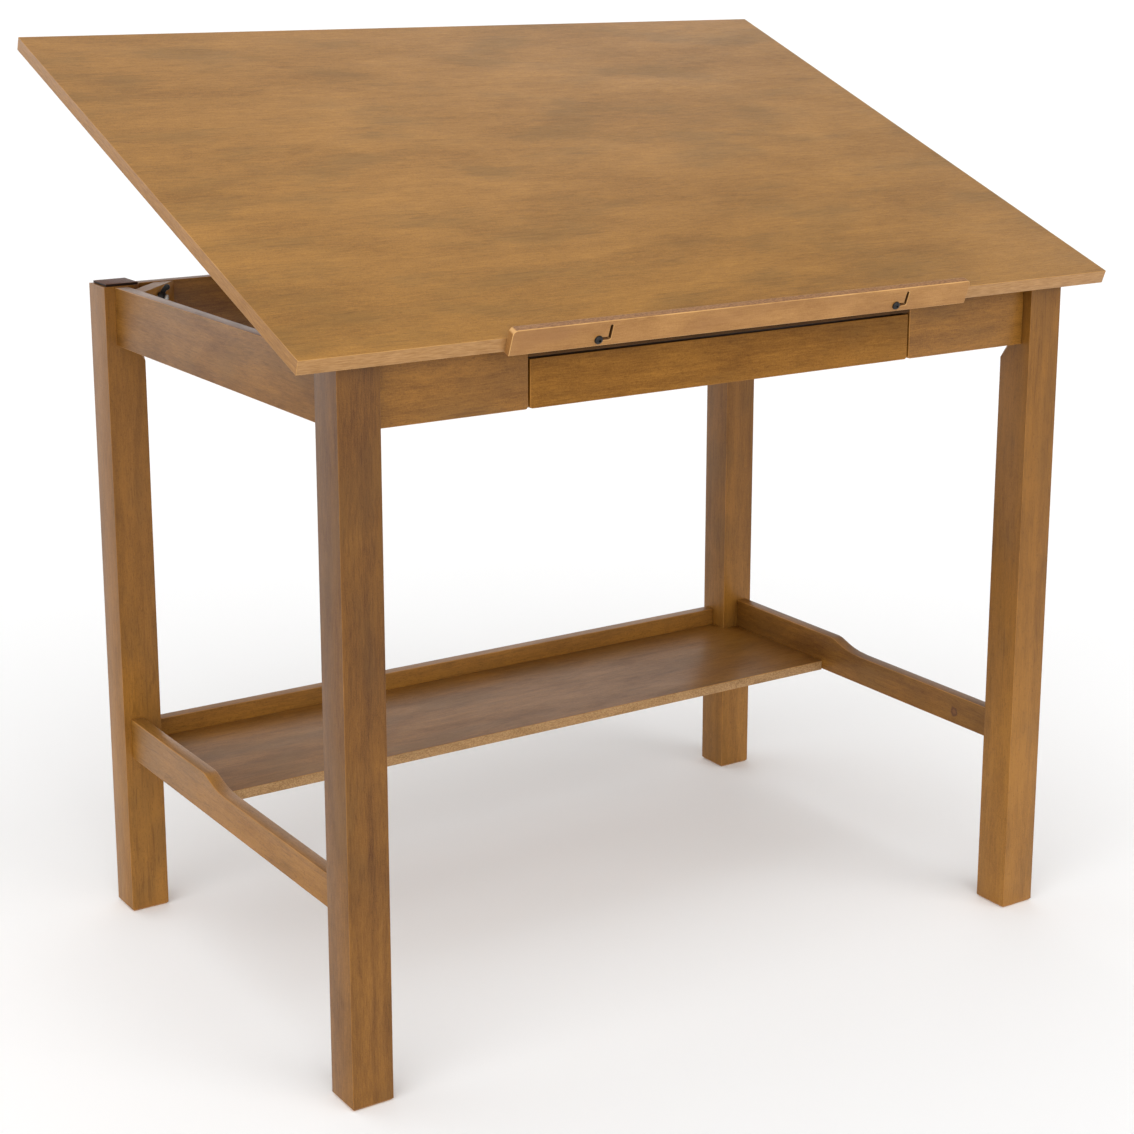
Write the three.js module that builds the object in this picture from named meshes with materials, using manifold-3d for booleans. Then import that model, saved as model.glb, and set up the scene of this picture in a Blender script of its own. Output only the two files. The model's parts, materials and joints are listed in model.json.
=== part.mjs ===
// A drafting table: a four-legged wooden frame with a shelf and a pencil drawer, a hinged
// top held up by two clamped prop arms, and a pencil ledge that drops on L-shaped slots.
// Millimetres, +Z up, +X to the user's right, +Y away from the user.
import * as THREE from "three";
import { mergeVertices } from "three/addons/utils/BufferGeometryUtils.js";
import Module from "manifold-3d";

const wasm = await Module();
wasm.setup();

// ---- driving dimensions -------------------------------------------------------------

const GAP = 0.3; // air left between pieces that meet
const ORIGIN_BEHIND_LEGS = 330; // from the front face of the legs back to the origin

const FRAME_WIDTH = 965.2; // over the legs, 38 inches
const FRAME_DEPTH = 634; // over the legs, 25 inches
const LEG = 47.6; // square section, 1 7/8 inches
const LEG_HEIGHT = 787.4; // 31 inches
const LEG_CHAMFER = 7.8; // depth of the flat on the inner corner, along the diagonal
const CHAMFER_STOP = [696, 710]; // heights between which the flat runs out
const FOOT_CHAMFER = 2.5; // round the bottom of each leg

const APRON = { thick: 16, inset: 12.7, bottom: 717, top: 786.8 };
const APRON_INNER = APRON.inset + APRON.thick; // from a leg's outer face

const BRACE = { near: 41.5, far: 66.5, bottom: 722, top: 786 }; // reaches along the aprons
const BOLT = { radius: 3, height: 773, from: 0, to: 66 }; // along the leg's diagonal
const NUT = { radius: 6.5, tip: 5, length: 8, wing: 2.6 };

const PAD = { size: 40, thick: 2.9 };

const STRETCHER = { thick: 16, inset: 8.5, bottom: 202.3, low: 240.3, high: 252.2 };
const STRETCHER_STEP = { low: 314, high: 374, hollow: 36, crest: 10 }; // climb of its top edge

const SHELF = { front: 391.5, thick: 12.7, top: 213.7 };
const SHELF_RAIL = { front: 611.6, thick: 16, top: 236.2 };

const OPENING = { half: 257, top: 771.3 }; // of the drawer, in the front apron
const DRAWER = { half: 254.5, bottom: 717, top: 769 }; // the drawer's front board
const LOWER_CORNER = 3.5; // radius, where the drawer's front and the front aprons meet
const BOX = { half: 254, wall: 10, back: 420, bottom: 729, top: 759, floor: 4, rise: 4 };
const RUNNER = { width: 21, bottom: 717.3 };

const TOP = { width: 1067, depth: 762, thick: 16, overhang: 13.3 }; // ahead of the hinge axis
const TILT = THREE.MathUtils.degToRad(21);
const STEEPEST = THREE.MathUtils.degToRad(45);
const HINGE = { y: -2.9, z: 788.3, barrel: 2.4, pin: 1, width: 38, leaf: 1.3, reach: 36 };
const UNDERSIDE = 2.6; // of the top, above the hinge axis when it lies flat

const PROP = { length: 290, drop: 9, width: 12, thick: 4, across: 281, pin: 3, rod: 4 };
const TRACK_FALL = THREE.MathUtils.degToRad(2.4); // of the slots, towards the back
const BRACKET = { base: 40, sheet: 2, ear: 6, inside: 3 };
const KNOB = { radius: 13, length: 16, bore: 12 };

const LEDGE = { length: 608, thick: 9.5, below: 16, above: 13, corner: 4 };
const LEDGE_STEP = 14; // sideways to unlock it, and then down
const LEDGE_SCREW = { across: 198.7, radius: 1.5, head: 4.7, proud: 3.3, grip: 20 };

// ---- finishes -----------------------------------------------------------------------

const FINISH = {
  top: { color: "#b58448", roughness: 0.45, metalness: 0 },
  frame: { color: "#8b5c2f", roughness: 0.5, metalness: 0 },
  inner: { color: "#a67c4b", roughness: 0.6, metalness: 0 },
  pad: { color: "#4a2a1a", roughness: 0.8, metalness: 0 },
  black: { color: "#1c1b1d", roughness: 0.4, metalness: 0 },
  steel: { color: "#9a9da0", roughness: 0.35, metalness: 1 },
};

function piece(name, finish, geometry) {
  const mesh = new THREE.Mesh(geometry, new THREE.MeshStandardMaterial(FINISH[finish]));
  mesh.name = name;
  return mesh;
}

// ---- shapes -------------------------------------------------------------------------

// A box between two limits on each axis.
function block([x0, x1], [y0, y1], [z0, z1]) {
  const box = new THREE.BoxGeometry(x1 - x0, y1 - y0, z1 - z0);
  return box.translate((x0 + x1) / 2, (y0 + y1) / 2, (z0 + z1) / 2);
}

// The outline that keeps `radius` outside a convex, anticlockwise loop of points.
function rounded(points, radius) {
  const shape = new THREE.Shape();
  points.forEach(([x, y], i) => {
    const [fromX, fromY] = points.at(i - 1);
    const [toX, toY] = points[(i + 1) % points.length];
    const start = Math.atan2(y - fromY, x - fromX) - Math.PI / 2;
    const end = Math.atan2(toY - y, toX - x) - Math.PI / 2;
    shape.absarc(x, y, radius, start, end, false);
  });
  return shape;
}

function polygon(points) {
  return new THREE.Shape(points.map(([x, y]) => new THREE.Vector2(x, y)));
}

function hole(x, y, radius) {
  return new THREE.Path().absarc(x, y, radius, 0, 2 * Math.PI, false);
}

// A flat shape stood on edge: its x runs at `heading` in plan and its y runs up.
function upright(shape, thick, heading = 0) {
  const options = { depth: thick, bevelEnabled: false, curveSegments: 6 };
  const plate = new THREE.ExtrudeGeometry(shape, options).translate(0, 0, -thick / 2);
  return plate.rotateX(Math.PI / 2).rotateZ(heading);
}

const SIDEWAYS = Math.PI / 2; // heading that puts a shape in the Y-Z plane

function rodAlongX(radius, from, to, sides = 20) {
  const rod = new THREE.CylinderGeometry(radius, radius, to - from, sides);
  return rod.rotateZ(Math.PI / 2).translate((from + to) / 2, 0, 0);
}

// A turned piece about Z from [radius, height] points that start and end on the axis,
// or that close on themselves.
function turned(points, sides = 24) {
  const profile = points.map(([radius, height]) => new THREE.Vector2(radius, height));
  return new THREE.LatheGeometry(profile, sides).rotateX(Math.PI / 2);
}

// ---- joining and cutting ------------------------------------------------------------

function solid(geometry) {
  const bare = geometry.clone();
  bare.deleteAttribute("normal");
  bare.deleteAttribute("uv");
  const merged = mergeVertices(bare, 1e-4);
  return new wasm.Manifold(
    new wasm.Mesh({
      numProp: 3,
      vertProperties: merged.attributes.position.array,
      triVerts: Uint32Array.from(merged.index.array),
    }),
  );
}

function geometryOf(body) {
  const { vertProperties, triVerts } = body.getMesh();
  const geometry = new THREE.BufferGeometry();
  geometry.setAttribute("position", new THREE.BufferAttribute(vertProperties, 3));
  geometry.setIndex(new THREE.BufferAttribute(triVerts, 1));
  geometry.computeVertexNormals();
  return geometry;
}

function joined(...geometries) {
  const [first, ...others] = geometries.map(solid);
  return geometryOf(others.reduce((body, other) => body.add(other), first));
}

function cut(geometry, ...tools) {
  const whole = solid(geometry);
  return geometryOf(tools.map(solid).reduce((body, tool) => body.subtract(tool), whole));
}

// ---- the frame ----------------------------------------------------------------------

// A corner of the frame about the leg's centre, with the inside of the table at +X +Y:
// the leg, the brace across the aprons, and the hanger bolt and wing nut that pull them
// together.
function corner(name, x, y, turn) {
  const diagonal = Math.PI / 4;
  const group = new THREE.Group();
  group.position.set(x, y, 0);
  group.rotation.z = turn;

  const bolt = (radius, from, to) =>
    rodAlongX(radius, from, to, 16).rotateZ(diagonal).translate(0, 0, BOLT.height);

  const flat = (LEG / 2) * Math.SQRT2 - LEG_CHAMFER;
  const clear = 15; // how far the cutter stands beyond the flat
  const [low, high] = CHAMFER_STOP;
  const run = high - ((high - low) * clear) / LEG_CHAMFER;
  const chamfer = polygon([
    [flat, high],
    [flat + clear, run],
    [flat + clear, LEG_HEIGHT + 1],
    [flat, LEG_HEIGHT + 1],
  ]);
  const edge = LEG / Math.SQRT2; // from the axis to an arris
  const post = turned(
    [
      [0, 0],
      [edge - FOOT_CHAMFER * Math.SQRT2, 0],
      [edge, FOOT_CHAMFER],
      [edge, LEG_HEIGHT],
      [0, LEG_HEIGHT],
    ],
    4,
  );
  const leg = cut(
    post.rotateZ(diagonal),
    upright(chamfer, 2 * LEG, diagonal),
    bolt(BOLT.radius + GAP, BOLT.from - GAP, flat + 1),
  );
  group.add(piece(`leg_${name}`, "frame", leg));

  const inside = APRON_INNER - LEG / 2; // the aprons' inner faces, from the leg's centre
  const touch = inside + GAP;
  const outline = polygon([
    [touch, inside + BRACE.near],
    [inside + BRACE.near, touch],
    [inside + BRACE.far, touch],
    [touch, inside + BRACE.far],
  ]);
  const height = BRACE.top - BRACE.bottom;
  const options = { depth: height, bevelEnabled: false };
  const bar = new THREE.ExtrudeGeometry(outline, options).translate(0, 0, BRACE.bottom);
  const brace = cut(bar, bolt(BOLT.radius + GAP, 20, 80));
  group.add(piece(`corner_brace_${name}`, "inner", brace));

  group.add(piece(`hanger_bolt_${name}`, "steel", bolt(BOLT.radius, BOLT.from, BOLT.to)));

  const seat = (inside + BRACE.far / 2) * Math.SQRT2 + GAP; // brace's inner face
  const nut = wingNut().rotateY(Math.PI / 2).translate(seat, 0, 0).rotateZ(diagonal);
  group.add(piece(`wing_nut_${name}`, "black", nut.translate(0, 0, BOLT.height)));
  return group;
}

// A wing nut that sits on the plane z = 0 and is threaded along +Z.
function wingNut() {
  const hub = turned([
    [0, 0],
    [NUT.radius, 0],
    [NUT.tip, NUT.length],
    [0, NUT.length],
  ]);
  const wings = [-1, 1].map((side) => {
    const root = [4.5 * side, 4];
    const tip = [13 * side, 10];
    return upright(rounded([root, tip], 3), NUT.wing);
  });
  const bore = turned([
    [0, -1],
    [BOLT.radius + GAP, -1],
    [BOLT.radius + GAP, 20],
    [0, 20],
  ]);
  return cut(joined(hub, ...wings), bore);
}

function sideApron(side, name) {
  const outer = FRAME_WIDTH / 2 - APRON.inset;
  const x = [side * outer, side * (outer - APRON.thick)].sort((a, b) => a - b);
  const y = [LEG + GAP, FRAME_DEPTH - LEG - GAP];
  return piece(`apron_${name}`, "frame", block(x, y, [APRON.bottom, APRON.top]));
}

function backApron() {
  const reach = FRAME_WIDTH / 2 - LEG - GAP;
  const y = [FRAME_DEPTH - APRON_INNER, FRAME_DEPTH - APRON.inset];
  return piece("apron_back", "frame", block([-reach, reach], y, [APRON.bottom, APRON.top]));
}

// A board in the plane of the front apron, with its chosen lower corners rounded.
function frontBoard([x0, x1], [z0, z1], roundLeft, roundRight) {
  const [left, right] = [roundLeft, roundRight].map((on) => (on ? LOWER_CORNER : 0));
  const shape = new THREE.Shape();
  shape.moveTo(x1, z1);
  shape.lineTo(x0, z1);
  if (roundLeft) shape.absarc(x0 + left, z0 + left, left, Math.PI, 1.5 * Math.PI, false);
  else shape.lineTo(x0, z0);
  if (roundRight) shape.absarc(x1 - right, z0 + right, right, -Math.PI / 2, 0, false);
  else shape.lineTo(x1, z0);
  return upright(shape, APRON.thick).translate(0, APRON.inset + APRON.thick / 2, 0);
}

// The front apron is two short boards with a thin rail over the drawer between them.
function frontApron() {
  const reach = FRAME_WIDTH / 2 - LEG - GAP;
  const height = [APRON.bottom, APRON.top];
  const half = OPENING.half - GAP;
  const left = frontBoard([-reach, -OPENING.half], height, false, true);
  const right = frontBoard([OPENING.half, reach], height, true, false);
  const rail = frontBoard([-half, half], [OPENING.top, APRON.top], false, false);
  return [
    piece("apron_front_left", "frame", left),
    piece("apron_front_right", "frame", right),
    piece("drawer_top_rail", "frame", rail),
  ];
}

function legPad(side, name) {
  const x = side * (FRAME_WIDTH / 2 - LEG / 2);
  const y = FRAME_DEPTH - LEG / 2;
  const pad = new THREE.BoxGeometry(PAD.size, PAD.size, PAD.thick);
  pad.translate(x, y, LEG_HEIGHT + GAP + PAD.thick / 2);
  return piece(`leg_pad_${name}`, "pad", pad);
}

function stretcher(side, name) {
  const { bottom, low, high, thick, inset } = STRETCHER;
  const [front, back] = [LEG + GAP, FRAME_DEPTH - LEG - GAP];
  const { low: lowEnd, high: highEnd, hollow, crest } = STRETCHER_STEP;
  const shape = new THREE.Shape();
  shape.moveTo(front, bottom);
  shape.lineTo(back, bottom);
  shape.lineTo(back, high);
  shape.lineTo(highEnd, high);
  shape.bezierCurveTo(highEnd - crest, high, lowEnd + hollow, low, lowEnd, low);
  shape.lineTo(front, low);
  const board = upright(shape, thick, SIDEWAYS);
  board.translate(side * (FRAME_WIDTH / 2 - inset - thick / 2), 0, 0);
  return piece(`stretcher_${name}`, "frame", board);
}

// The shelf board is notched at the back round the rear legs and ends at its rail.
function shelf() {
  const end = FRAME_WIDTH / 2 - STRETCHER.inset - STRETCHER.thick - GAP;
  const waist = FRAME_WIDTH / 2 - LEG - GAP;
  const notch = FRAME_DEPTH - LEG - GAP;
  const back = SHELF_RAIL.front - GAP;
  const outline = polygon([
    [-end, SHELF.front],
    [end, SHELF.front],
    [end, notch],
    [waist, notch],
    [waist, back],
    [-waist, back],
    [-waist, notch],
    [-end, notch],
  ]);
  const bottom = SHELF.top - SHELF.thick;
  const options = { depth: SHELF.thick, bevelEnabled: false };
  const board = new THREE.ExtrudeGeometry(outline, options).translate(0, 0, bottom);
  const y = [SHELF_RAIL.front, SHELF_RAIL.front + SHELF_RAIL.thick];
  const rail = block([-waist, waist], y, [bottom, SHELF_RAIL.top]);
  return [piece("shelf_board", "frame", board), piece("shelf_back_rail", "frame", rail)];
}

// ---- the prop linkage ---------------------------------------------------------------

// The prop arms are as long as the distance from the hinge axis to their pivots, so as
// the top tilts the rod at their feet runs along a straight line through that axis.
const PIVOT_DROP = UNDERSIDE - PROP.drop; // pivot's height over the hinge axis, laid flat
const PIVOT_ANGLE = Math.asin(-PIVOT_DROP / PROP.length);
const PIVOT_BACK = PROP.length * Math.cos(PIVOT_ANGLE);

// Where the rod is, as [y, z] in the frame, with the top at `tilt`.
function rodAt(tilt) {
  const reach = 2 * PROP.length * Math.cos(tilt - PIVOT_ANGLE + TRACK_FALL);
  const y = HINGE.y + reach * Math.cos(TRACK_FALL);
  return [y, HINGE.z - reach * Math.sin(TRACK_FALL)];
}

// Two rails run from front to back beside the drawer. Each has a slot for the rod.
function slottedRail(side, name) {
  const [front, back] = [APRON_INNER + GAP, FRAME_DEPTH - APRON_INNER - GAP];
  const board = polygon([
    [front, APRON.bottom],
    [back, APRON.bottom],
    [back, APRON.top],
    [front, APRON.top],
  ]);
  board.holes.push(rounded([rodAt(STEEPEST), rodAt(0)], PROP.rod + 0.4));
  const geometry = upright(board, APRON.thick, SIDEWAYS);
  geometry.translate(side * (OPENING.half + GAP + APRON.thick / 2), 0, 0);
  return piece(`slotted_rail_${name}`, "inner", geometry);
}

function drawerRunner(side, name) {
  const [near, far] = [OPENING.half - RUNNER.width, OPENING.half];
  const x = [side * near, side * far].sort((a, b) => a - b);
  const y = [APRON_INNER + GAP, FRAME_DEPTH - APRON_INNER - GAP];
  const strip = block(x, y, [RUNNER.bottom, BOX.bottom - GAP]);
  return piece(`drawer_runner_${name}`, "inner", strip);
}

// The arms, the rod between their feet and the knobs that clamp it, about the pivots.
function prop() {
  const group = new THREE.Group();
  group.position.set(0, PIVOT_BACK, PIVOT_DROP);
  group.rotation.x = -2 * TILT + PIVOT_ANGLE - 2 * TRACK_FALL;
  const end = PROP.across + PROP.thick / 2 + GAP;
  const rod = rodAlongX(PROP.rod, -end - KNOB.bore + GAP, end + KNOB.bore - GAP);
  group.add(piece("prop_rod", "steel", rod.translate(0, PROP.length, 0)));
  for (const [side, name] of SIDES) {
    const foot = [PROP.length, 0];
    const outline = rounded([[0, 0], foot], PROP.width / 2);
    outline.holes.push(hole(0, 0, PROP.pin + GAP), hole(...foot, PROP.rod + GAP));
    const arm = upright(outline, PROP.thick, SIDEWAYS).translate(side * PROP.across, 0, 0);
    group.add(piece(`prop_arm_${name}`, "black", arm));
    const { radius, length, bore } = KNOB;
    const knob = turned([
      [0, bore],
      [PROP.rod + GAP, bore],
      [PROP.rod + GAP, 0],
      [radius - 5, 0],
      [radius - 5, 3],
      [radius, 4],
      [radius, length - 2],
      [radius - 2, length],
      [0, length],
    ]);
    knob.rotateY((side * Math.PI) / 2).translate(side * end, PROP.length, 0);
    group.add(piece(`clamp_knob_${name}`, "black", knob));
  }
  return group;
}

// A clevis under the top that holds an arm's pivot pin.
function propBracket(side, name) {
  const { base, sheet, ear, inside } = BRACKET;
  const lift = PROP.drop - GAP; // from the pivot to the top of the plate
  const half = base / 2;
  const plate = block([-half, half], [-half, half], [lift - sheet, lift]);
  const cheek = () => upright(rounded([[0, 0], [0, lift - ear]], ear), sheet, SIDEWAYS);
  const offset = inside + sheet / 2;
  const body = joined(
    plate,
    cheek().translate(-offset, 0, 0),
    cheek().translate(offset, 0, 0),
  );
  const clevis = cut(body, rodAlongX(PROP.pin + GAP, -20, 20, 16));
  clevis.translate(side * PROP.across, PIVOT_BACK, PIVOT_DROP);
  return piece(`prop_bracket_${name}`, "black", clevis);
}

function propPin(side, name) {
  const reach = BRACKET.inside + BRACKET.sheet + GAP;
  const pin = turned([
    [0, -reach - 1],
    [PROP.pin, -reach - 1],
    [PROP.pin, reach],
    [PROP.pin + 1.8, reach],
    [PROP.pin + 1.8, reach + 1.6],
    [0, reach + 1.6],
  ]);
  pin.rotateY((side * Math.PI) / 2).translate(side * PROP.across, PIVOT_BACK, PIVOT_DROP);
  return piece(`prop_pin_${name}`, "steel", pin);
}

// ---- the hinges ---------------------------------------------------------------------

// One leaf of a five-knuckle butt hinge about its pin: `mine` are its own knuckles and
// `level` is the height of its plate's lower face over the pin when the hinge is shut.
function hingeLeaf(mine, level) {
  const { barrel, pin, width, leaf, reach } = HINGE;
  const pitch = width / 5;
  const span = (i, margin) => [(i - 2.5) * pitch + margin, (i - 1.5) * pitch - margin];
  const knuckles = mine.map((i) => rodAlongX(barrel, ...span(i, 0.15), 16));
  const others = [0, 1, 2, 3, 4].filter((i) => !mine.includes(i));
  const clearances = others.map((i) => rodAlongX(barrel + 0.4, ...span(i, -0.15), 16));
  const plate = block([-width / 2, width / 2], [0, reach], [level, level + leaf]);
  const shaped = cut(plate, ...clearances);
  return cut(joined(shaped, ...knuckles), rodAlongX(pin + GAP, -width, width, 12));
}

function hingeOn(frame, lid, side, name) {
  const across = side * (FRAME_WIDTH / 2 - LEG / 2);
  const lower = hingeLeaf([0, 2, 4], LEG_HEIGHT + GAP - HINGE.z);
  const upper = hingeLeaf([1, 3], UNDERSIDE - GAP - HINGE.leaf);
  const half = HINGE.width / 2 - GAP;
  const pin = rodAlongX(HINGE.pin, -half, half, 12);
  for (const part of [lower, pin]) part.translate(across, HINGE.y, HINGE.z);
  frame.add(piece(`hinge_leaf_lower_${name}`, "steel", lower));
  frame.add(piece(`hinge_pin_${name}`, "steel", pin));
  lid.add(piece(`hinge_leaf_upper_${name}`, "steel", upper.translate(across, 0, 0)));
}

// ---- the top and its ledge ----------------------------------------------------------

const SURFACE = UNDERSIDE + TOP.thick; // of the top, over the hinge axis when flat
const SCREW_HEIGHT = UNDERSIDE + TOP.thick / 2;

function tabletop() {
  const x = [-TOP.width / 2, TOP.width / 2];
  const y = [-TOP.overhang, TOP.depth - TOP.overhang];
  const { across, radius, grip } = LEDGE_SCREW;
  const sockets = [-across, across].map((middle) => {
    const socket = new THREE.CylinderGeometry(radius + GAP, radius + GAP, grip + 3, 12);
    return socket.translate(middle, (grip + 3) / 2 - 1 - TOP.overhang, SCREW_HEIGHT);
  });
  return piece("tabletop", "top", cut(block(x, y, [UNDERSIDE, SURFACE]), ...sockets));
}

// The ledge is held up with its screws at the locked ends of its slots. Each slot runs
// along to a corner and then up, and here it is opened inside that corner as well.
function pencilLedge() {
  const half = LEDGE.length / 2;
  const [bottom, top] = [SURFACE - LEDGE.below, SURFACE + LEDGE.above];
  const corner = half - LEDGE.corner;
  const board = new THREE.Shape();
  board.moveTo(-half, bottom);
  board.lineTo(half, bottom);
  board.absarc(corner, top - LEDGE.corner, LEDGE.corner, 0, Math.PI / 2, false);
  board.absarc(-corner, top - LEDGE.corner, LEDGE.corner, Math.PI / 2, Math.PI, false);
  for (const middle of [-LEDGE_SCREW.across, LEDGE_SCREW.across]) {
    const path = [
      [middle, SCREW_HEIGHT],
      [middle + LEDGE_STEP, SCREW_HEIGHT],
      [middle + LEDGE_STEP, SCREW_HEIGHT + LEDGE_STEP],
    ];
    board.holes.push(rounded(path, LEDGE_SCREW.radius + GAP));
  }
  const ledge = upright(board, LEDGE.thick);
  ledge.translate(0, -TOP.overhang - GAP - LEDGE.thick / 2, 0);
  return piece("pencil_ledge", "top", ledge);
}

function ledgeScrew(side, name) {
  const { across, radius, head, proud, grip } = LEDGE_SCREW;
  const face = -2 * GAP - LEDGE.thick; // the head's seat, from the top's front edge
  const screw = turned([
    [0, face - proud],
    [head - 1.5, face - proud + 0.3],
    [head, face - proud + 1.5],
    [head, face],
    [radius, face],
    [radius, grip],
    [0, grip],
  ]);
  screw.rotateX(-Math.PI / 2).translate(side * across, -TOP.overhang, SCREW_HEIGHT);
  return piece(`ledge_screw_${name}`, "black", screw);
}

// ---- the drawer ---------------------------------------------------------------------

function drawer() {
  const { half, wall, back, bottom, top, floor, rise } = BOX;
  const front = APRON_INNER + GAP;
  const inner = half - wall - GAP;
  const group = new THREE.Group();
  const width = [-DRAWER.half, DRAWER.half];
  const board = frontBoard(width, [DRAWER.bottom, DRAWER.top], true, true);
  const left = block([-half, wall - half], [front, back], [bottom, top]);
  const right = block([half - wall, half], [front, back], [bottom, top]);
  const rear = block([-inner, inner], [back - wall, back], [bottom, top]);
  const base = [bottom + rise, bottom + rise + floor];
  const tray = block([-inner, inner], [front, back - wall - GAP], base);
  group.add(piece("drawer_front", "frame", board));
  group.add(piece("drawer_side_left", "inner", left));
  group.add(piece("drawer_side_right", "inner", right));
  group.add(piece("drawer_back", "inner", rear));
  group.add(piece("drawer_bottom", "inner", tray));
  return group;
}

// ---- assembly -----------------------------------------------------------------------

const SIDES = [
  [-1, "left"],
  [1, "right"],
];

const table = new THREE.Group();
table.position.y = -ORIGIN_BEHIND_LEGS;

const legX = (FRAME_WIDTH - LEG) / 2;
const [frontY, backY] = [LEG / 2, FRAME_DEPTH - LEG / 2];
table.add(corner("front_left", -legX, frontY, 0));
table.add(corner("front_right", legX, frontY, Math.PI / 2));
table.add(corner("back_right", legX, backY, Math.PI));
table.add(corner("back_left", -legX, backY, -Math.PI / 2));
table.add(backApron(), ...frontApron(), ...shelf());
table.add(drawer());

const lid = new THREE.Group();
lid.position.set(0, HINGE.y, HINGE.z);
lid.rotation.x = TILT;
lid.add(tabletop(), pencilLedge(), prop());
table.add(lid);

for (const [side, name] of SIDES) {
  table.add(sideApron(side, name), legPad(side, name), stretcher(side, name));
  table.add(slottedRail(side, name), drawerRunner(side, name));
  hingeOn(table, lid, side, name);
  lid.add(propBracket(side, name), propPin(side, name), ledgeScrew(side, name));
}

export default table;
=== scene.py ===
"""The looks of a drafting table: stained and lacquered wood, black fittings, a plain studio.

Lengths are metres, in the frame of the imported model: +X to the user's right, +Z up.
"""

import json
import math

import bmesh
import bpy
from mathutils import Matrix, Vector


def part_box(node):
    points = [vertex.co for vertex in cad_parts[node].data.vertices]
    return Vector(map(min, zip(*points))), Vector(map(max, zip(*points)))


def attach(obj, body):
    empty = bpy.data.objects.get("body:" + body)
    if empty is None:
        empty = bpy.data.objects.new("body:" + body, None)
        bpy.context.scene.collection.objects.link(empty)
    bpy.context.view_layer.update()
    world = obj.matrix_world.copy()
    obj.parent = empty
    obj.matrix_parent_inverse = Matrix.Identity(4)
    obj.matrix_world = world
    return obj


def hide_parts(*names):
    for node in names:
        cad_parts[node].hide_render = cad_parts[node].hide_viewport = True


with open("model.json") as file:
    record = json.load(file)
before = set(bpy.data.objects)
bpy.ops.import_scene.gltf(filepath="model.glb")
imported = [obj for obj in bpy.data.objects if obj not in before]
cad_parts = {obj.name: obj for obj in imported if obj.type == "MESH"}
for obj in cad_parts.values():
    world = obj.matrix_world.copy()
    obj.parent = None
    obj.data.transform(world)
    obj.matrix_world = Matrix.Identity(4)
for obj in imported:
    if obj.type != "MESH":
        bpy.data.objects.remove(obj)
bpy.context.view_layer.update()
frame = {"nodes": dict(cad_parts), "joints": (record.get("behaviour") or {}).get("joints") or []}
nodes = frame["nodes"]

MM = 0.001
TILT = math.radians(21)  # of the top, at rest


def hinge_axis():
    """Where the lid's hinge axis is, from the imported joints."""
    for joint in frame["joints"]:
        if joint["name"] == "lid_tilt":
            return Vector(joint["pos_m"])


HINGE = hinge_axis()
LID_TURN = Matrix.Rotation(TILT, 3, "X")


def on_lid(x, y, z):
    """A point given about the hinge axis with the top laid flat, carried to the tilted top."""
    return HINGE + LID_TURN @ Vector((x, y, z))


# ---- camera --------------------------------------------------------------------------


def camera(location, azimuth, elevation, lens, shift_y):
    """Stands the camera, its azimuth clockwise from +Y and its elevation over the horizon."""
    data = bpy.data.cameras.new("camera")
    data.sensor_width = 36
    data.lens = lens
    data.shift_y = shift_y
    eye = bpy.data.objects.new("camera", data)
    eye.location = location
    eye.rotation_euler = (math.radians(90 + elevation), 0, math.radians(-azimuth))
    bpy.context.collection.objects.link(eye)
    bpy.context.scene.camera = eye


camera(
    location=(-1.4538, -2.2226, 1.1895),
    azimuth=33.14,
    elevation=-12.99,
    lens=71.30,
    shift_y=-0.1,
)

# ---- node graphs ---------------------------------------------------------------------


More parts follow.
